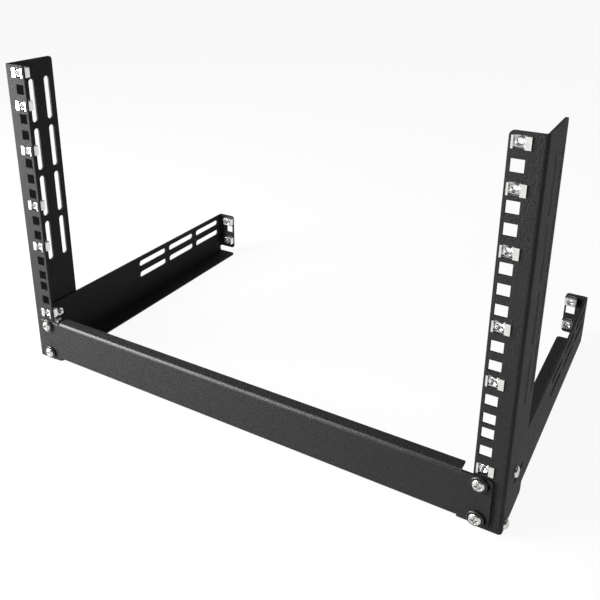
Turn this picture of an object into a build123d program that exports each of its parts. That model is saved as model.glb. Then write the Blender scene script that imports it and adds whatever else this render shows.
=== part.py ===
from build123d import *
import os

os.makedirs("parts", exist_ok=True)

# Rack standard
rack_unit = 44.45
usable_units = 6
hole_pitch_wide = 15.875
hole_pitch_narrow = 12.7
hole_column_x = 465.1 / 2
square_hole = 9.5

# Folded sheet
sheet = 2.0
bend_inside = 1.2
bend_outside = bend_inside + sheet
side_clearance = 0.3

# Uprights
side_x = 251.0
front_y = -164.5
unit_margin = 6.8
upright_low = 3.2
upright_high = unit_margin + (usable_units + 1) * rack_unit + 1.0
upright_depth = 56.5
front_flange = 25.6
flange_corner = 3.5

# Long slots in the uprights
upright_slot_length = 44.0
upright_slot_width = 6.5
upright_slot_pitch = 50.2
upright_slot_z = 202.7
upright_slot_y = (front_y + 27.6, front_y + 47.0)
short_slot_length = 28.0
short_slot_width = 4.5
short_slot_y = front_y + 39.0
short_slot_z = 34.5

# Base rails, lapped inside the uprights
rail_x = side_x - sheet
rail_front_y = front_y + 4.0
rear_y = 170.5
rail_height = 55.7
bottom_flange = 25.7
rear_flange = 22.9
rear_flange_low = 8.0
bend_relief = 5.0
rear_hole_z = (48.5, 48.5 - hole_pitch_narrow, 48.5 - hole_pitch_narrow - hole_pitch_wide)

# Long slots in the base rails
rail_slot_length = 50.0
rail_slot_width = 7.5
rail_slot_pitch = 57.0
rail_slot_y = front_y + 242.0
rail_slot_z = (31.9, 46.6)

# Crossbar
bar_width = 482.6
bar_height = 43.7
bar_flange = 12.6
bar_flange_half = 216.0
bar_slot_length = 13.4
bar_slot_width = 7.0
bar_corner = 2.5
bar_z = unit_margin + rack_unit / 2

# Cage nuts
cage_sheet = 0.7
cage_height = 9.0
cage_half = 6.2
cage_depth = 8.2
cage_bend = 0.9
leg_half = 4.2
long_ear = 7.9
short_ear = 5.3
nut_size = 10.4
nut_thickness = 4.2
nut_thread = 5.0
nut_collar = 7.2

# Crossbar screws
bar_thread = 6.0
bar_screw_x = 231.0
bar_head_radius = 5.1
bar_head_height = 3.4
bar_screw_length = 18.0
washer_radius = 6.8
washer_cup_radius = 5.9
washer_height = 2.2
washer_seat = 1.2
bar_nut_radius = 7.1
bar_nut_across = 10.0

# Side screws
side_thread = 5.0
side_head_radius = 4.5
side_head_height = 3.0
side_screw_length = 12.0
side_screw_y = (front_y + 25.0, front_y + 9.0)
side_screw_z = (45.5, 8.0)
side_nut_radius = 4.7
side_nut_across = 8.0
nut_flange_height = 1.3
hex_nut_height = 4.0


def rack_hole_heights(count):
    """Heights of the rack holes from the top hole downward."""
    top = unit_margin + (usable_units + 1) * rack_unit - hole_pitch_narrow / 2
    steps = (hole_pitch_wide, hole_pitch_wide, hole_pitch_narrow)
    heights = [top]
    for index in range(count - 1):
        heights.append(heights[-1] - steps[index % 3])
    return heights


hole_z = rack_hole_heights(3 * usable_units + 3)
bar_screw_z = (hole_z[18], hole_z[20])
nut_levels = (1, 3, 6, 10, 13, 18)


def keep(piece, name):
    """Label a finished piece and write it out."""
    piece.part.label = name
    export_step(piece.part, f"parts/{name}.step")


def keep_pair(piece, name):
    """Write out the right-hand piece and its mirror image on the left."""
    keep(piece, f"{name}_right")
    with BuildPart() as other:
        add(piece.part)
        mirror(about=Plane.YZ, mode=Mode.REPLACE)
    keep(other, f"{name}_left")


def gather(pieces):
    """Put like pieces that don't touch into one part."""
    with BuildPart() as group:
        for piece in pieces:
            add(piece.part)
    return group


def round_corners(section, spots, radius):
    """Round the corners of an open section that lie at the given spots."""
    corners = [section.vertices().sort_by_distance((*spot, 0))[0] for spot in spots]
    fillet(corners, radius)


def angle_section(plane, corner, toes):
    """The section of a folded angle: its outer corner, and the far ends of its two legs."""
    across = sheet if toes[0] > corner[0] else -sheet
    along = sheet if toes[1] > corner[1] else -sheet
    inner = (corner[0] + across, corner[1] + along)
    with BuildSketch(plane) as section:
        with BuildLine():
            Polyline(
                corner,
                (toes[0], corner[1]),
                (toes[0], inner[1]),
                inner,
                (inner[0], toes[1]),
                (corner[0], toes[1]),
                close=True,
            )
        make_face()
        round_corners(section, [corner], bend_outside)
        round_corners(section, [inner], bend_inside)
    return section.sketch


# Uprights: a tall folded angle with the rack holes in its front leg and slots in its side leg
with BuildPart() as upright:
    floor_plane = Plane.XY.offset(upright_low)
    toes = (side_x - front_flange, front_y + upright_depth)
    extrude(angle_section(floor_plane, (side_x, front_y), toes), amount=upright_high - upright_low)
    # Rounded free corners of both legs
    free_corners = []
    for z in (upright_low, upright_high):
        front_tip = Vector(side_x - front_flange, front_y + sheet / 2, z)
        back_tip = Vector(side_x - sheet / 2, front_y + upright_depth, z)
        free_corners.append(upright.edges().filter_by(Axis.Y).sort_by_distance(front_tip)[0])
        free_corners.append(upright.edges().filter_by(Axis.X).sort_by_distance(back_tip)[0])
    fillet(free_corners, flange_corner)
    # Square rack holes
    with BuildSketch(Plane.XZ.offset(-front_y + 1)):
        with Locations(*[(hole_column_x, z) for z in hole_z]):
            Rectangle(square_hole, square_hole)
    extrude(amount=-(sheet + 2), mode=Mode.SUBTRACT)
    # Two columns of long slots, one short slot and the holes for the side screws
    with BuildSketch(Plane.YZ.offset(side_x + 1)):
        for column in upright_slot_y:
            with Locations((column, upright_slot_z)):
                with GridLocations(1, upright_slot_pitch, 1, 4):
                    SlotOverall(upright_slot_length, upright_slot_width, rotation=90)
        with Locations((short_slot_y, short_slot_z)):
            SlotOverall(short_slot_length, short_slot_width)
        with Locations(*zip(side_screw_y, side_screw_z)):
            Circle(side_thread / 2 + side_clearance)
    extrude(amount=-(sheet + 2), mode=Mode.SUBTRACT)
keep_pair(upright, "upright")

# Base rails: a folded angle on the floor, with a third leg turned inward at the rear
with BuildPart() as base_rail:
    toes = (rail_x - bottom_flange, rail_height)
    section = angle_section(Plane.XZ.offset(-rail_front_y), (rail_x, 0), toes)
    extrude(section, amount=-(rear_y - bend_relief - rail_front_y))
    # Rear leg and its bend
    toes = (rail_x - rear_flange, rear_y - bend_relief - 1)
    section = angle_section(Plane.XY.offset(rear_flange_low), (rail_x, rear_y), toes)
    extrude(section, amount=rail_height - rear_flange_low)
    # Rounded free corners
    rear_tip = Vector(rail_x - rear_flange, rear_y - sheet / 2, rail_height)
    low_tip = Vector(rail_x - rear_flange, rear_y - sheet / 2, rear_flange_low)
    front_tip = Vector(rail_x - sheet / 2, rail_front_y, rail_height)
    toe_tip = Vector(rail_x - bottom_flange, rail_front_y, sheet / 2)
    heel_tip = Vector(rail_x - bottom_flange, rear_y - bend_relief, sheet / 2)
    free_corners = [base_rail.edges().filter_by(Axis.X).sort_by_distance(front_tip)[0]]
    for tip in (rear_tip, low_tip):
        free_corners.append(base_rail.edges().filter_by(Axis.Y).sort_by_distance(tip)[0])
    for tip in (toe_tip, heel_tip):
        free_corners.append(base_rail.edges().filter_by(Axis.Z).sort_by_distance(tip)[0])
    fillet(free_corners, flange_corner)
    # Square rack holes in the rear leg
    with BuildSketch(Plane.XZ.offset(-rear_y - 1)):
        with Locations(*[(hole_column_x, z) for z in rear_hole_z]):
            Rectangle(square_hole, square_hole)
    extrude(amount=sheet + 2, mode=Mode.SUBTRACT)
    # Two rows of long slots and the holes for the side screws
    with BuildSketch(Plane.YZ.offset(rail_x + 1)):
        for row in rail_slot_z:
            with Locations((rail_slot_y, row)):
                with GridLocations(rail_slot_pitch, 1, 3, 1):
                    SlotOverall(rail_slot_length, rail_slot_width)
        with Locations(*zip(side_screw_y, side_screw_z)):
            Circle(side_thread / 2 + side_clearance)
    extrude(amount=-(sheet + 2), mode=Mode.SUBTRACT)
keep_pair(base_rail, "base_rail")

# Crossbar folded at its top and bottom edges, flat at both ends
bar_face_y = front_y - sheet
bar_back_y = bar_face_y + bar_flange
bar_low = bar_z - bar_height / 2
bar_high = bar_z + bar_height / 2
with BuildPart() as front_crossbar:
    with BuildSketch(Plane.YZ.offset(-bar_flange_half)) as channel:
        with BuildLine():
            Polyline(
                (bar_face_y, bar_low),
                (bar_face_y, bar_high),
                (bar_back_y, bar_high),
                (bar_back_y, bar_high - sheet),
                (front_y, bar_high - sheet),
                (front_y, bar_low + sheet),
                (bar_back_y, bar_low + sheet),
                (bar_back_y, bar_low),
                close=True,
            )
        make_face()
        round_corners(channel, [(bar_face_y, bar_low), (bar_face_y, bar_high)], bend_outside)
        hollows = [(front_y, bar_low + sheet), (front_y, bar_high - sheet)]
        round_corners(channel, hollows, bend_inside)
    extrude(amount=2 * bar_flange_half)
    # Flat end tabs with rounded outer corners
    tab = bar_width / 2 - bar_flange_half
    with BuildSketch(Plane.XZ.offset(-front_y)) as tabs:
        with Locations((bar_width / 2 - tab / 2, bar_z), (tab / 2 - bar_width / 2, bar_z)):
            Rectangle(tab, bar_height)
        outer = [(side * bar_width / 2, edge) for side in (-1, 1) for edge in (bar_low, bar_high)]
        round_corners(tabs, outer, bar_corner)
    extrude(amount=sheet)
    # Four slots for the screws
    with BuildSketch(Plane.XZ.offset(-bar_face_y + 1)):
        for side in (-1, 1):
            with Locations(*[(side * hole_column_x, z) for z in bar_screw_z]):
                SlotOverall(bar_slot_length, bar_slot_width)
    extrude(amount=-(sheet + 2), mode=Mode.SUBTRACT)
keep(front_crossbar, "front_crossbar")


def build_cage(plane):
    """A sprung sheet cage in one rack hole. The plane's X axis points from its short ear to
    its long one, and the Y axis behind the rail."""
    half = cage_sheet / 2
    ear_line = -half - 0.1
    back_line = sheet + half + 0.1
    with BuildPart() as cage:
        with BuildSketch(plane):
            with BuildLine():
                Polyline((long_ear, ear_line), (leg_half, ear_line), (leg_half, back_line))
                FilletPolyline(
                    (leg_half, back_line),
                    (cage_half, back_line),
                    (cage_half, cage_depth),
                    (-cage_half, cage_depth),
                    (-cage_half, back_line),
                    (-leg_half, back_line),
                    radius=cage_bend,
                )
                Polyline((-leg_half, back_line), (-leg_half, ear_line), (-short_ear, ear_line))
            trace(line_width=cage_sheet)
        extrude(amount=cage_height / 2, both=True)
        with BuildSketch(Plane(plane.origin, x_dir=plane.x_dir, z_dir=-plane.y_dir)):
            Circle(bar_thread / 2 + 0.6)
        extrude(amount=-(cage_depth + 2), mode=Mode.SUBTRACT)
    return cage


def build_square_nut(plane):
    """A square nut that floats in its cage, with a round collar towards the rack hole."""
    axis = Plane(plane.origin, x_dir=plane.x_dir, z_dir=plane.y_dir)
    seat = sheet + cage_sheet + 0.15
    with BuildPart() as nut:
        with BuildSketch(axis.offset(seat)):
            Rectangle(nut_size, nut_size)
        extrude(amount=nut_thickness)
        with BuildSketch(axis.offset(0.4)):
            Circle(nut_collar / 2)
        extrude(amount=seat)
        with BuildSketch(axis):
            Circle(nut_thread / 2)
        extrude(amount=cage_depth + 2, mode=Mode.SUBTRACT)
    return nut


# Cage nuts in the uprights
for side, side_name in ((-1, "left"), (1, "right")):
    turned = {"x_dir": (side, 0, 0), "z_dir": (0, 0, side)}
    spots = [Plane((side * hole_column_x, front_y, hole_z[level - 1]), **turned) for level in nut_levels]
    keep(gather([build_cage(spot) for spot in spots]), f"cages_{side_name}")
    keep(gather([build_square_nut(spot) for spot in spots]), f"square_nuts_{side_name}")

# Cage nuts in the rear legs of the base rails
rear_spots = []
for side in (-1, 1):
    turned = {"x_dir": (side, 0, 0), "z_dir": (0, 0, -side)}
    for z in rear_hole_z[::2]:
        rear_spots.append(Plane((side * hole_column_x, rear_y, z), **turned))
keep(gather([build_cage(spot) for spot in rear_spots]), "rear_cages")
keep(gather([build_square_nut(spot) for spot in rear_spots]), "rear_square_nuts")


def build_pan_screw(plane, radius, height, thread, length):
    """A pan-head screw with a cross recess, the plane's normal pointing out of the head."""
    with BuildPart() as screw:
        with BuildSketch(plane):
            Circle(radius)
        extrude(amount=height)
        rim = screw.edges().filter_by(GeomType.CIRCLE).sort_by_distance(plane.offset(height).origin)
        chamfer(rim[0], height * 0.5, height * 0.75)
        with BuildSketch(plane):
            Circle(thread / 2)
        extrude(amount=-length)
        with BuildSketch(plane.offset(height)):
            Rectangle(radius, radius * 0.2)
            Rectangle(radius * 0.2, radius)
        extrude(amount=-height * 0.7, mode=Mode.SUBTRACT)
    return screw


def build_flange_nuts(plane, spots, thread, flange_radius, across):
    """Hexagon nuts with a round flange on a face, the plane's normal pointing off the face."""
    with BuildPart() as nuts:
        with BuildSketch(plane):
            with Locations(*spots):
                Circle(flange_radius)
                Circle(thread / 2, mode=Mode.SUBTRACT)
        extrude(amount=nut_flange_height)
        with BuildSketch(plane.offset(nut_flange_height)):
            with Locations(*spots):
                RegularPolygon(across / 2, 6, major_radius=False)
                Circle(thread / 2, mode=Mode.SUBTRACT)
        extrude(amount=hex_nut_height)
    return nuts


# Crossbar screws, their heads seated in the cup washers
washer_spots = [(side * bar_screw_x, z) for side in (-1, 1) for z in bar_screw_z]
head_seat_y = bar_face_y - washer_seat
for side, side_name in ((-1, "left"), (1, "right")):
    for height, height_name in zip(bar_screw_z, ("upper", "lower")):
        seat = Plane((side * bar_screw_x, head_seat_y, height), x_dir=(1, 0, 0), z_dir=(0, -1, 0))
        screw = build_pan_screw(seat, bar_head_radius, bar_head_height, bar_thread, bar_screw_length)
        keep(screw, f"bar_screw_{side_name}_{height_name}")

# Cup washers with a raised rim around each screw head
with BuildPart() as bar_washers:
    with BuildSketch(Plane.XZ.offset(-bar_face_y)):
        with Locations(*washer_spots):
            Circle(washer_radius)
            Circle(bar_thread / 2 + 0.2, mode=Mode.SUBTRACT)
    extrude(amount=washer_height)
    with BuildSketch(Plane.XZ.offset(-head_seat_y)):
        with Locations(*washer_spots):
            Circle(washer_cup_radius)
    extrude(amount=washer_height, mode=Mode.SUBTRACT)
keep(bar_washers, "bar_washers")

# Flange nuts on the crossbar screws, behind the uprights
rail_back = Plane((0, front_y + sheet, 0), x_dir=(1, 0, 0), z_dir=(0, 1, 0))
mirrored_spots = [(x, -z) for x, z in washer_spots]
bar_nuts = build_flange_nuts(rail_back, mirrored_spots, bar_thread, bar_nut_radius, bar_nut_across)
keep(bar_nuts, "bar_nuts")

# Screws that clamp each base rail to its upright, and their nuts inside
for side, side_name in ((-1, "left"), (1, "right")):
    screws = []
    for y, z in zip(side_screw_y, side_screw_z):
        seat = Plane((side * side_x, y, z), x_dir=(0, side, 0), z_dir=(side, 0, 0))
        screw = build_pan_screw(seat, side_head_radius, side_head_height, side_thread, side_screw_length)
        screws.append(screw)
    keep(gather(screws), f"side_screws_{side_name}")
    inner_face = Plane((side * (rail_x - sheet), 0, 0), x_dir=(0, 1, 0), z_dir=(-side, 0, 0))
    spots = [(y, -side * z) for y, z in zip(side_screw_y, side_screw_z)]
    side_nuts = build_flange_nuts(inner_face, spots, side_thread, side_nut_radius, side_nut_across)
    keep(side_nuts, f"side_nuts_{side_name}")
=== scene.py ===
import math
import bpy
import numpy as np
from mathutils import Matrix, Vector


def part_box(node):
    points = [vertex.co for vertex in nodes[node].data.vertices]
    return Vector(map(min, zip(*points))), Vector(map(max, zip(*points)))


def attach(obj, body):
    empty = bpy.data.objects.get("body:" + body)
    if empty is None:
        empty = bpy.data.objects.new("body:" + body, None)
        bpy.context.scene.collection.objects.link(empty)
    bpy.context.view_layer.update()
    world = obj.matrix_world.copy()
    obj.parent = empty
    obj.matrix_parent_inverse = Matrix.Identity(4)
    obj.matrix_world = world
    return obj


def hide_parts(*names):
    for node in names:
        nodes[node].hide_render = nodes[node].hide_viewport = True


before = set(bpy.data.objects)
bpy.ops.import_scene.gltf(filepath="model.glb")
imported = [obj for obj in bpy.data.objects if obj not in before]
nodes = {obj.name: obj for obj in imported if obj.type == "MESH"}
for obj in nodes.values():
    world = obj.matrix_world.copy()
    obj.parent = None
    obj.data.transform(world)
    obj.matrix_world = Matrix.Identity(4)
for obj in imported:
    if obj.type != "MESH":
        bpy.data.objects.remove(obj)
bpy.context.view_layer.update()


# Uprights: 2 mm sheet steel folded to a tall angle, punched with the square rack holes in
# front and long slots at the side. They are powder coated all over in fine-textured black
# after the punching, so the coat also lines the holes and thins a little over every edge.

coat_edge_radius = 0.0005
coat_depth = 0.0005
rub_reach = 0.0013
rubbed_roughness = 0.27


class Wire:
    """One shader socket. Arithmetic on it adds Math nodes, and node() adds any other node."""

    def __init__(self, socket):
        self.socket = socket
        self.tree = socket.id_data

    def node(self, kind, settings=None, values=None, output=0):
        """Adds a node: its settings first, then the values or links of its sockets."""
        made = self.tree.nodes.new(kind)
        for name, value in (settings or {}).items():
            setattr(made, name, value)
        for name, value in (values or {}).items():
            if isinstance(value, Wire):
                self.tree.links.new(value.socket, made.inputs[name])
            else:
                made.inputs[name].default_value = value
        return Wire(made.outputs[output])

    def math(self, operation, first, second):
        return self.node("ShaderNodeMath", {"operation": operation}, {0: first, 1: second})

    def vector(self, operation, other, output=0):
        values = {0: self, 1: other}
        return self.node("ShaderNodeVectorMath", {"operation": operation}, values, output)

    def __add__(self, other):
        return self.math("ADD", self, other)

    def __radd__(self, other):
        return self.math("ADD", other, self)

    def __sub__(self, other):
        return self.math("SUBTRACT", self, other)

    def __rsub__(self, other):
        return self.math("SUBTRACT", other, self)

    def __mul__(self, other):
        return self.math("MULTIPLY", self, other)

    def __rmul__(self, other):
        return self.math("MULTIPLY", other, self)

    def __truediv__(self, other):
        return self.math("DIVIDE", self, other)

    def __rtruediv__(self, other):
        return self.math("DIVIDE", other, self)

    def __pow__(self, other):
        return self.math("POWER", self, other)

    def __rpow__(self, other):
        return self.math("POWER", other, self)

    def clamp(self):
        return self.node("ShaderNodeClamp", None, {0: self})

    def along(self, axis):
        """One of these three coordinates, named by its letter."""
        return self.node("ShaderNodeSeparateXYZ", None, {"Vector": self}, axis)

    def mix(self, first, second):
        """A colour that goes from first to second as this value goes from 0 to 1."""
        colours = {6: (*first, 1.0), 7: (*second, 1.0)}
        return self.node("ShaderNodeMix", {"data_type": "RGBA"}, {0: self, **colours}, 2)

    def noise(self, per_metre, detail=2.0):
        """Cloudy noise around these coordinates, with that many clouds to the metre."""
        values = {"Vector": self, "Scale": per_metre, "Detail": detail}
        return self.node("ShaderNodeTexNoise", None, values)

    def bump(self, depth, normal=None):
        """A normal raised by this height, where a height of 1 is depth metres."""
        values = {"Strength": 1.0, "Distance": depth, "Height": self}
        if normal:
            values["Normal"] = normal
        return self.node("ShaderNodeBump", None, values)


def new_finish(name, colour, metallic, roughness, reflection=0.5):
    """A plain finish: the material, its shader node and the object coordinates as a Wire."""
    material = bpy.data.materials.new(name)
    material.use_nodes = True
    shader = material.node_tree.nodes["Principled BSDF"]
    shader.inputs["Base Color"].default_value = (*colour, 1.0)
    shader.inputs["Metallic"].default_value = metallic
    shader.inputs["Roughness"].default_value = roughness
    shader.inputs["Specular IOR Level"].default_value = reflection
    coordinates = material.node_tree.nodes.new("ShaderNodeTexCoord")
    return material, shader, Wire(coordinates.outputs["Object"])


def drive(shader, **wires):
    """Links each wire to the shader socket of its name."""
    for name, wire in wires.items():
        wire.tree.links.new(wire.socket, shader.inputs[name.replace("_", " ")])


def rounded_edges(place, radius):
    """The normal as if every edge were rounded to this radius."""
    return place.node("ShaderNodeBevel", {"samples": 6}, {"Radius": radius})


def worn_edges(rounded):
    """How far the rounding turns the normal, from 0 on a flat face to 1 on an edge: five times
    what the cosine of the angle between the two normals falls short of 1."""
    flat = rounded.node("ShaderNodeNewGeometry", output="Normal")
    return ((1.0 - rounded.vector("DOT_PRODUCT", flat, "Value")) * 5.0).clamp()


def powder_coat(name, rubbed_line=None):
    """Black powder coat: a pebbled skin with pebbles under 1 mm apart, smoother over edges and
    along a fold, given as the depth and height of a level line across the rack. The rubbing is
    full as far as its reach from that line and gone at twice its reach."""
    material, shader, place = new_finish(name, (0.008, 0.008, 0.0083), 0.0, 0.7, 0.25)
    rounded = rounded_edges(place, coat_edge_radius)
    edge = worn_edges(rounded)
    pebble = place.noise(1500.0)
    peel = place.noise(800.0, 3.0)
    dust = place.noise(45.0, 4.0)
    height = pebble + peel * 1.5
    paleness = height * 0.7 + dust * 0.3 + edge * 0.5 - 0.6
    colour = paleness.mix((0.002, 0.002, 0.0022), (0.014, 0.014, 0.0145))
    roughness = 0.52 + dust * 0.12 + pebble * 0.1 + peel * 0.16 - edge * 0.2
    if rubbed_line:
        back = place.along("Y") - rubbed_line[0]
        down = place.along("Z") - rubbed_line[1]
        rubbed = (2.0 - (back * back + down * down) ** 0.5 / rub_reach).clamp()
        roughness = roughness + rubbed * (rubbed_roughness - roughness)
        height = height * (1.0 - rubbed)
    drive(shader, Base_Color=colour, Roughness=roughness, Normal=height.bump(coat_depth, rounded))
    return material


def dress(material, *names):
    """Gives the named CAD nodes this material."""
    for name in names:
        node = nodes[name]
        node.data.materials.clear()
        node.data.materials.append(material)


coat = powder_coat("powder coat")
dress(coat, "upright_left", "upright_right")


# Base rails: the same sheet and coat, folded to an angle that lies on the floor, with its
# rear end turned inward as a short rack rail. They are lapped inside the uprights.

dress(coat, "base_rail_left", "base_rail_right")


# Crossbar: the same sheet and coat, folded along its top and bottom edges and left flat at
# both ends, where it lies on the front of the uprights. Hands rub its top fold smoother.

low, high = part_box("front_crossbar")
dress(powder_coat("powder coat on the crossbar", (low.y, high.z)), "front_crossbar")


# Cages of the cage nuts: strips of 0.7 mm spring steel folded round the nut, with two legs
# through the square hole and ears that grip its front. Rolled bright, never painted.

strip_edge_radius = 0.00015
rolling_depth = 0.00002


def spring_steel():
    """Bright rolled strip: fine upright lines and a light brown tempering haze."""
    material, shader, place = new_finish("spring steel", (0.62, 0.6, 0.57), 1.0, 0.24)
    lines = place.vector("MULTIPLY", (2500.0, 2500.0, 130.0)).noise(1.0)
    haze = place.noise(260.0, 3.0)
    rounded = rounded_edges(place, strip_edge_radius)
    colour = (haze * 0.8 + lines * 0.2).mix((0.62, 0.61, 0.59), (0.88, 0.87, 0.85))
    roughness = 0.16 + lines * 0.14 + haze * 0.08
    drive(shader, Base_Color=colour, Roughness=roughness, Normal=lines.bump(rolling_depth, rounded))
    return material


dress(spring_steel(), "cages_left", "cages_right", "rear_cages")


# Square nuts in the cages: cold-formed steel with a round collar towards the square hole,
# an M6 thread cut through both, and bright zinc plate over all.

rack_unit = 0.04445
hole_pitch = 0.015875
nut_levels = np.array((0, 2, 5, 9, 12, 17))
nut_side = 0.0052
nut_body = 0.0042
nut_collar = 0.0036
nut_chamfer = 0.0003
nut_corner_power = 14
nut_steps = 48
nut_thread = 0.0025
nut_thread_pitch = 0.001
nut_thread_depth = 0.0005
nut_thread_mouth = 0.0004
steps_a_pitch = 6.0
thread_flat = 0.1
smooth_angle = 38
tumbling_depth = 0.00002


def full_turn(steps):
    """The turns round a piece, evenly spaced."""
    return np.linspace(0.0, 2.0 * math.pi, steps, endpoint=False)


def around(spot, outward, reach, height, turn):
    """Points round a level line through the spot, which leaves the piece along outward.
    Each is the spot, plus reach times the cosine of its turn upward and the sine of it
    sideways, plus height along the line."""
    out = np.array(outward, float)
    up = np.array((0.0, 0.0, 1.0))
    aside = np.cross(out, up)
    reach, height, turn = (part[..., None] for part in np.broadcast_arrays(reach, height, turn))
    return np.array(spot) + reach * (np.cos(turn) * up + np.sin(turn) * aside) + height * out


def closed_skin(grid, ring):
    """Corners and faces of a closed skin on a grid of points, whose columns go round.
    In a ring the last row goes on to the first; else each end row is one point."""
    rows, columns = grid.shape[:2]
    number = np.arange(rows * columns).reshape(rows, columns)
    corners = grid.reshape(-1, 3)
    if ring:
        number = np.vstack((number, number[:1]))
    else:
        last = (rows - 2) * columns + 1
        number = np.clip(number - columns + 1, 0, last)
        number[-1] = last
        corners = np.vstack((grid[0, :1], grid[1:-1].reshape(-1, 3), grid[-1, :1]))
    beside = np.roll(number, -1, axis=1)
    faces = np.stack((number[:-1], number[1:], beside[1:], beside[:-1]), axis=-1)
    return corners, faces.reshape(-1, 4)


def turned_skin(spot, outward, rows, turn, ring):
    """The closed skin through rows of a reach and a height along the line, each of which is
    one number for the whole row or one for every turn."""
    reach = np.array([np.broadcast_to(row[0], turn.shape) for row in rows])
    height = np.array([np.broadcast_to(row[1], turn.shape) for row in rows])
    return closed_skin(around(spot, outward, reach, height, turn), ring)


def build(name, skins, finish):
    """One mesh piece out of several closed skins, smooth but for its folds."""
    corners = []
    faces = []
    start = 0
    for points, quads in skins:
        corners.append(points)
        faces += [tuple(dict.fromkeys(quad)) for quad in (quads + start).tolist()]
        start += len(points)
    mesh = bpy.data.meshes.new(name)
    mesh.from_pydata(np.vstack(corners), [], faces)
    mesh.polygons.foreach_set("use_smooth", np.ones(len(faces), bool))
    mesh.set_sharp_from_angle(angle=math.radians(smooth_angle))
    mesh.materials.append(finish)
    piece = bpy.data.objects.new(name, mesh)
    bpy.context.scene.collection.objects.link(piece)
    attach(piece, "root")
    return piece


def ridge(height, turn, pitch):
    """The height of a screw thread's ridge from 0 to 1: a wave that climbs one pitch a turn,
    with a tenth cut off its crest and its root."""
    wave = np.abs(2.0 * np.mod(height / pitch - turn / (2.0 * math.pi), 1.0) - 1.0)
    return np.clip((wave - thread_flat) / (1.0 - 2.0 * thread_flat), 0.0, 1.0)


def square_nut(spot, outward, length):
    """A square nut from the front of its collar back. Its outline is half the side, over the
    fourteenth root of the summed fourteenth powers of the cosine and sine of the turn."""
    turn = full_turn(nut_steps)
    powers = np.abs(np.cos(turn)) ** nut_corner_power + np.abs(np.sin(turn)) ** nut_corner_power
    side = nut_side * powers ** (-1.0 / nut_corner_power)
    mouth = nut_thread + nut_thread_mouth
    step = length - nut_body
    rows = [
        (mouth, 0.0),
        (nut_collar - nut_chamfer, 0.0),
        (nut_collar, -nut_chamfer),
        (nut_collar, -step),
        (side - nut_chamfer, -step),
        (side, -step - nut_chamfer),
        (side, -length + nut_chamfer),
        (side - nut_chamfer, -length),
        (mouth, -length),
    ]
    climb = -nut_thread_pitch / steps_a_pitch
    for depth in np.arange(length - nut_thread_mouth, nut_thread_mouth, climb):
        cut = nut_thread_depth * (1.0 - ridge(-depth, turn, nut_thread_pitch))
        rows.append((nut_thread + cut, -depth))
    return turned_skin(spot, outward, rows, turn, True)


def zinc_plate():
    """Bright zinc: a mottled mirror with faint tumbling marks."""
    material, shader, place = new_finish("zinc plate", (0.68, 0.69, 0.7), 1.0, 0.22)
    mottle = place.noise(420.0, 3.0)
    marks = place.noise(1900.0)
    colour = mottle.mix((0.52, 0.53, 0.54), (0.8, 0.8, 0.79))
    roughness = 0.18 + mottle * 0.16
    drive(shader, Base_Color=colour, Roughness=roughness, Normal=marks.bump(tumbling_depth))
    return material


zinc = zinc_plate()
nut_drop = rack_unit * (nut_levels // 3) + hole_pitch * (nut_levels % 3)
for side_name in ("left", "right"):
    low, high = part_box(f"square_nuts_{side_name}")
    nut_x = (low.x + high.x) / 2
    nuts = [
        square_nut((nut_x, low.y, high.z - nut_side - drop), (0, -1, 0), high.y - low.y)
        for drop in nut_drop
    ]
    piece = build(f"threaded_square_nuts_{side_name}", nuts, zinc)
    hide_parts(f"square_nuts_{side_name}")

low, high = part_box("rear_square_nuts")
nuts = [
    square_nut((x, high.y, z), (0, 1, 0), high.y - low.y)
    for x in (low.x + nut_side, high.x - nut_side)
    for z in (low.z + nut_side, high.z - nut_side)
]
piece = build("threaded_square_nuts_rear", nuts, zinc)
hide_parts("rear_square_nuts")


# Crossbar screws: M6 pan-head rack screws with a cross recess, headed and rolled from steel
# wire and nickel plated. Each head sits in a cup washer and clamps the bar to an upright.

bar_head_radius = 0.0051
bar_head_height = 0.0034
bar_thread = 0.003
bar_thread_pitch = 0.001
recess_arm = 0.6
recess_half_width = 0.15
recess_wall = 0.05
recess_depth = 0.75
recess_rise = 0.45
dome_reach_power = 0.8
dome_height_power = 0.6
screw_steps = 72
thread_depth_share = 0.61
neck_share = 0.86
neck_end = 0.0004
shank_start = 0.0006
shank_end = 0.0008
tip_share = 0.72
scratch_depth = 0.00001


def cross_recess(across, along, head_radius):
    """The depth of a cross recess from 0 to 1: two crossed troughs, which get shallower
    towards the ends of their arms, with walls that slope at the sides and more at the ends."""
    arm = head_radius * recess_arm
    half_width = head_radius * recess_half_width
    wall = head_radius * recess_wall

    def trough(far, near):
        ends = np.clip((arm - far) / (wall * 3.0), 0.0, 1.0)
        sides = np.clip((half_width - near) / wall, 0.0, 1.0)
        return ends * sides * (1.0 - recess_rise * far / arm)

    return np.maximum(trough(across, along), trough(along, across))


def pan_screw(spot, outward, length, head_radius, head_height, thread, pitch):
    """A screw from the middle of its head to its tip, with the spot on the seat of the head.
    The dome is the head's radius times a power of the sine of an angle, and its height times
    a power of the cosine. Its rings are closest over the recess. The depth of the thread is a
    share of its pitch."""
    turn = full_turn(screw_steps)
    arc = np.concatenate((np.linspace(0.0, 0.75, 30), np.linspace(0.8, math.pi / 2, 12)))[:, None]
    reach = head_radius * np.sin(arc) ** dome_reach_power * np.ones(screw_steps)
    recess = cross_recess(np.abs(reach * np.cos(turn)), np.abs(reach * np.sin(turn)), head_radius)
    height = head_height * (np.cos(arc) ** dome_height_power - recess_depth * recess)
    rows = [*zip(reach, height), (thread, 0.0), (thread * neck_share, -neck_end)]
    for depth in np.arange(shank_start, length - shank_end, pitch / steps_a_pitch):
        cut = thread_depth_share * pitch * (1.0 - ridge(-depth, turn, pitch))
        rows.append((thread - cut, -depth))
    rows += [(thread * tip_share, -length), (0.0, -length)]
    return turned_skin(spot, outward, rows, turn, False)


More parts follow.
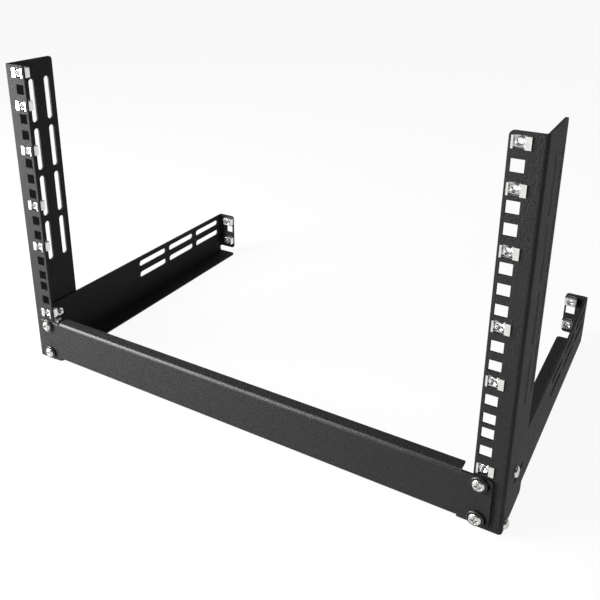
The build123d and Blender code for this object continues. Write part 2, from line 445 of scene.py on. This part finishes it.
def nickel_plate():
    """Nickel plate: warm and bright, with fine level scratches and a duller film in places."""
    material, shader, place = new_finish("nickel plate", (0.75, 0.73, 0.7), 1.0, 0.2)
    film = place.noise(500.0, 3.0)
    scratches = place.vector("MULTIPLY", (700.0, 700.0, 6000.0)).noise(1.0)
    colour = film.mix((0.5, 0.49, 0.47), (0.74, 0.73, 0.71))
    roughness = 0.08 + film * 0.12 + scratches * 0.05
    drive(shader, Base_Color=colour, Roughness=roughness, Normal=scratches.bump(scratch_depth))
    return material


nickel = nickel_plate()
for place_name in ("left_upper", "left_lower", "right_upper", "right_lower"):
    low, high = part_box(f"bar_screw_{place_name}")
    seat = ((low.x + high.x) / 2, low.y + bar_head_height, (low.z + high.z) / 2)
    screw = pan_screw(seat, (0, -1, 0), high.y - seat[1], bar_head_radius, bar_head_height,
                      bar_thread, bar_thread_pitch)
    piece = build(f"bar_cross_screw_{place_name}", [screw], nickel)
    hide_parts(f"bar_screw_{place_name}")


# Cup washers under the crossbar screws: moulded black nylon, with a rounded lip that stands
# up around the screw head and a flat back on the bar.

washer_radius = 0.0068
washer_steps = 64
washer_rings = (
    (0.0032, 0.0012), (0.0057, 0.0012), (0.0059, 0.0014), (0.0059, 0.0018), (0.00605, 0.00208),
    (0.00635, 0.0022), (0.0066, 0.0021), (0.00678, 0.00185), (0.0068, 0.0015), (0.0068, 0.0002),
    (0.0066, 0.0), (0.0032, 0.0),
)
grain_depth = 0.00003


def cup_washer(spot, outward):
    """The washer's rings, each a distance from its middle line and a height along it."""
    return turned_skin(spot, outward, washer_rings, full_turn(washer_steps), True)


def black_nylon():
    """Moulded nylon: a smooth lip with a faint grain and scuffs from the screw head."""
    material, shader, place = new_finish("black nylon", (0.012, 0.012, 0.013), 0.0, 0.25)
    grain = place.noise(1500.0)
    scuff = place.noise(300.0, 4.0)
    colour = (scuff ** 2.0).mix((0.009, 0.009, 0.01), (0.03, 0.03, 0.031))
    roughness = 0.16 + scuff * 0.18
    drive(shader, Base_Color=colour, Roughness=roughness, Normal=grain.bump(grain_depth))
    return material


low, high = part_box("bar_washers")
washers = [
    cup_washer((x, high.y, z), (0, -1, 0))
    for x in (low.x + washer_radius, high.x - washer_radius)
    for z in (low.z + washer_radius, high.z - washer_radius)
]
piece = build("lipped_cup_washers", washers, black_nylon())
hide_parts("bar_washers")


# Nuts behind the crossbar: M6 hexagon nuts with a flange that slopes up to the hexagon, cold
# formed and zinc plated. They press the uprights against the bar.

bar_nut_radius = 0.0071
bar_nut_across = 0.01
flange_edge = 0.0003
flange_rings = ((0.96, 0.0009), (1.0, 0.0006), (1.0, 0.0002))
flange_top = 0.0015
flange_nut_steps = 72
trim_share = 0.49
trim_slope = 0.8
mouth_share = 1.06
bore_chamfer = 0.0002


def flange_nut(spot, outward, length, thread, flange_radius, across):
    """A flange nut with the spot on the face it presses. Its sides are half the width across
    flats over the cosine of the turn from the nearest flat, and a cone trims the corners."""
    turn = full_turn(flange_nut_steps)
    hexagon = across / 2 / np.cos(np.mod(turn, math.pi / 3.0) - math.pi / 6.0)
    trimmed = across * trim_share
    mouth = thread * mouth_share
    rows = [
        (mouth, length),
        (trimmed, length),
        (hexagon, length - np.maximum(hexagon - trimmed, 0.0) * trim_slope),
        (hexagon, flange_top),
        *((flange_radius * share, height) for share, height in flange_rings),
        (flange_radius - flange_edge, 0.0),
        (mouth, 0.0),
        (thread, bore_chamfer),
        (thread, length - bore_chamfer),
    ]
    return turned_skin(spot, outward, rows, turn, True)


low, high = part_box("bar_nuts")
nuts = [
    flange_nut((x, low.y, z), (0, 1, 0), high.y - low.y, bar_thread, bar_nut_radius,
               bar_nut_across)
    for x in (low.x + bar_nut_radius, high.x - bar_nut_radius)
    for z in (low.z + bar_nut_radius, high.z - bar_nut_radius)
]
piece = build("bar_flange_nuts", nuts, zinc)
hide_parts("bar_nuts")


# Side screws: two M5 pan-head screws on each side, nickel plated, through the upright and
# the base rail inside it, each held by a zinc plated M5 flange nut in the channel.

side_head_radius = 0.0045
side_head_height = 0.003
side_thread = 0.0025
side_thread_pitch = 0.0008
side_nut_radius = 0.0047
side_nut_across = 0.008

for side, side_name in ((-1, "left"), (1, "right")):
    low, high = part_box(f"side_screws_{side_name}")
    seat_x = side * (max(abs(low.x), abs(high.x)) - side_head_height)
    tip_x = side * min(abs(low.x), abs(high.x))
    seats = [
        (seat_x, low.y + side_head_radius, low.z + side_head_radius),
        (seat_x, high.y - side_head_radius, high.z - side_head_radius),
    ]
    screws = [
        pan_screw(seat, (side, 0, 0), abs(seat_x - tip_x), side_head_radius, side_head_height,
                  side_thread, side_thread_pitch)
        for seat in seats
    ]
    piece = build(f"side_cross_screws_{side_name}", screws, nickel)
    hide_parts(f"side_screws_{side_name}")
    low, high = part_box(f"side_nuts_{side_name}")
    face_x = side * max(abs(low.x), abs(high.x))
    nuts = [
        flange_nut((face_x, y, z), (-side, 0, 0), high.x - low.x, side_thread, side_nut_radius,
                   side_nut_across)
        for _, y, z in seats
    ]
    piece = build(f"side_flange_nuts_{side_name}", nuts, zinc)
    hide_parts(f"side_nuts_{side_name}")


# Studio: a white paper floor that keeps a faint shadow, with white up to just over the
# horizon behind it. A softbox stands low at the left, a strip lamp draws the light line on
# the crossbar's fold, a weak lamp hangs above, and the camera is above the right front corner.

floor_reach = 12
floor_glow = 0.93
room_light = 0.12


def seen_directly(coordinates):
    """1 where the camera sees a surface, straight or in metal or glass, and else 0."""
    kinds = ("Is Camera Ray", "Is Glossy Ray", "Is Transmission Ray")
    rays = [coordinates.node("ShaderNodeLightPath", output=kind) for kind in kinds]
    return (rays[0] + rays[1] + rays[2]).clamp()


floor_mesh = bpy.data.meshes.new("floor")
floor_corners = [
    (x * floor_reach, y * floor_reach, 0)
    for x, y in ((-1, -1), (1, -1), (1, 1), (-1, 1))
]
floor_mesh.from_pydata(floor_corners, [], [(0, 1, 2, 3)])
floor = bpy.data.objects.new("floor", floor_mesh)
bpy.context.scene.collection.objects.link(floor)
paper, paper_shader, paper_place = new_finish("paper", (0.8, 0.8, 0.8), 0.0, 0.9)
fibre = paper_place.noise(60.0, 4.0)
drive(paper_shader, Base_Color=fibre.mix((0.78, 0.78, 0.78), (0.82, 0.82, 0.82)))
white = fibre.node("ShaderNodeEmission", None, {"Color": (1, 1, 1, 1), "Strength": 1.0})
lit = Wire(paper_shader.outputs["BSDF"])
share = seen_directly(fibre) * floor_glow
sheet_of_paper = fibre.node("ShaderNodeMixShader", None, {0: share, 1: lit, 2: white})
paper_end = paper.node_tree.nodes["Material Output"]
paper.node_tree.links.new(sheet_of_paper.socket, paper_end.inputs["Surface"])
floor_mesh.materials.append(paper)

# The backdrop is full up to a sine of 0.2 over the horizon and gone at 0.3.
world = bpy.data.worlds.new("studio")
world.use_nodes = True
bpy.context.scene.world = world
background = world.node_tree.nodes["Background"]
background.inputs["Color"].default_value = (1, 1, 1, 1)
sky = Wire(world.node_tree.nodes.new("ShaderNodeTexCoord").outputs["Object"])
backdrop = (3.0 - sky.along("Z") * 10.0).clamp()
light = seen_directly(sky) * backdrop * (1.0 - room_light) + room_light
world.node_tree.links.new(light.socket, background.inputs["Strength"])


def soft_lamp(name, place, target, width, height, power):
    """An area lamp of that width and height at a place, turned towards a target: tilted by
    the angle from straight down to its aim, and then turned about the upright line."""
    data = bpy.data.lights.new(name, "AREA")
    data.shape = "RECTANGLE"
    data.size = width
    data.size_y = height
    data.energy = power
    lamp = bpy.data.objects.new(name, data)
    bpy.context.scene.collection.objects.link(lamp)
    lamp.location = place
    aim = np.array(target) - np.array(place)
    tilt = math.atan2(math.hypot(aim[0], aim[1]), -aim[2])
    lamp.rotation_euler = (tilt, 0, math.atan2(-aim[0], aim[1]))


soft_lamp("left softbox", place=(-1.0, -0.8, 0.42), target=(-0.25, -0.16, 0.2),
          width=0.7, height=0.75, power=52)
soft_lamp("strip lamp", place=(-0.55, -0.82, 0.84), target=(-0.05, -0.165, 0.06),
          width=1.0, height=0.12, power=12)
soft_lamp("top lamp", place=(0.1, 0.3, 2.6), target=(0, 0, 0),
          width=1.6, height=1.6, power=5)

camera_down = 19.68
camera_aside = 30.91
camera_data = bpy.data.cameras.new("camera")
camera_data.sensor_width = 36.0
camera_data.lens = 44.445
camera_data.shift_x = 0.0241
camera_data.shift_y = -0.1773
camera_data.clip_start = 0.01
camera = bpy.data.objects.new("camera", camera_data)
bpy.context.scene.collection.objects.link(camera)
camera.location = (0.3381, -0.6295, 0.4391)
camera.rotation_euler = (math.radians(90 - camera_down), 0, math.radians(camera_aside))
bpy.context.scene.camera = camera
bpy.context.scene.view_settings.view_transform = "Standard"
